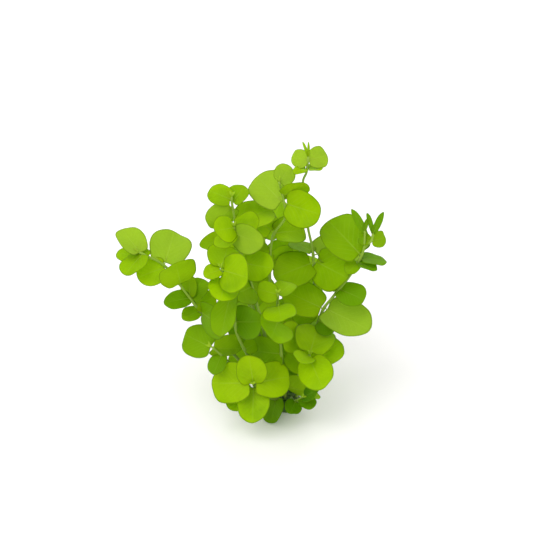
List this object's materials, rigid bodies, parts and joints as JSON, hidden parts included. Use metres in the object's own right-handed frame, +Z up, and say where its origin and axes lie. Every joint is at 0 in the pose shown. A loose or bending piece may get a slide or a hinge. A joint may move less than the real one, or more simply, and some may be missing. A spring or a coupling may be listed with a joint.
{
  "type": "creeping jenny clump",
  "caption": "Freestanding clump of creeping jenny: thin stems with round green leaves in pairs, growing from one low crown that is cut flat below.",
  "frame": {"origin": "on the surface that the clump stands on, below the middle of its bounding box", "axes": "+Z is up, from the cut crown to the stem tips; -Y is the side that the picture shows; +X is to the right in the picture"},
  "size_m": [0.153, 0.1296, 0.1608],
  "materials": {
    "leaf": "thin fresh leaf, smooth and slightly glossy, lets light through",
    "stem": "smooth juicy green stem",
    "crown": "dull knot of old stem bases and roots"
  },
  "bodies": {
    "root": {"crown": "crown", "leaf_back_centre_101": "leaf", "leaf_back_centre_102": "leaf", "leaf_back_centre_103": "leaf", "leaf_back_centre_104": "leaf", "leaf_back_centre_105": "leaf", "leaf_back_centre_106": "leaf", "leaf_back_left_94": "leaf", "leaf_back_left_95": "leaf", "leaf_back_left_96": "leaf", "leaf_back_left_97": "leaf", "leaf_back_left_98": "leaf", "leaf_back_left_99": "leaf", "leaf_back_right_109": "leaf", "leaf_back_right_110": "leaf", "leaf_back_right_112": "leaf", "leaf_back_right_113": "leaf", "leaf_centre_37": "leaf", "leaf_centre_40": "leaf", "leaf_centre_42": "leaf", "leaf_front_centre_75": "leaf", "leaf_front_centre_76": "leaf", "leaf_front_centre_77": "leaf", "leaf_front_low_87": "leaf", "leaf_front_low_88": "leaf", "leaf_front_low_90": "leaf", "leaf_front_low_91": "leaf", "leaf_front_right_80": "leaf", "leaf_front_right_82": "leaf", "leaf_front_right_83": "leaf", "leaf_left_back_32": "leaf", "leaf_left_back_33": "leaf", "leaf_left_front_17": "leaf", "leaf_left_front_20": "leaf", "leaf_left_front_21": "leaf", "leaf_left_long_12": "leaf", "leaf_left_long_4": "leaf", "leaf_left_long_6": "leaf", "leaf_left_low_13": "leaf", "leaf_right_53": "leaf", "leaf_right_70": "leaf", "leaf_right_71": "leaf", "leaf_top_right_54": "leaf", "leaf_top_right_55": "leaf", "leaf_top_right_56": "leaf", "stem_back_centre": "stem", "stem_back_left": "stem", "stem_back_right": "stem", "stem_centre": "stem", "stem_front_base": "stem", "stem_front_centre": "stem", "stem_front_low": "stem", "stem_front_right": "stem", "stem_left_back": "stem", "stem_left_front": "stem", "stem_left_long": "stem", "stem_left_low": "stem", "stem_left_middle": "stem", "stem_right": "stem", "stem_top_right": "stem"}
  },
  "joints": []
}
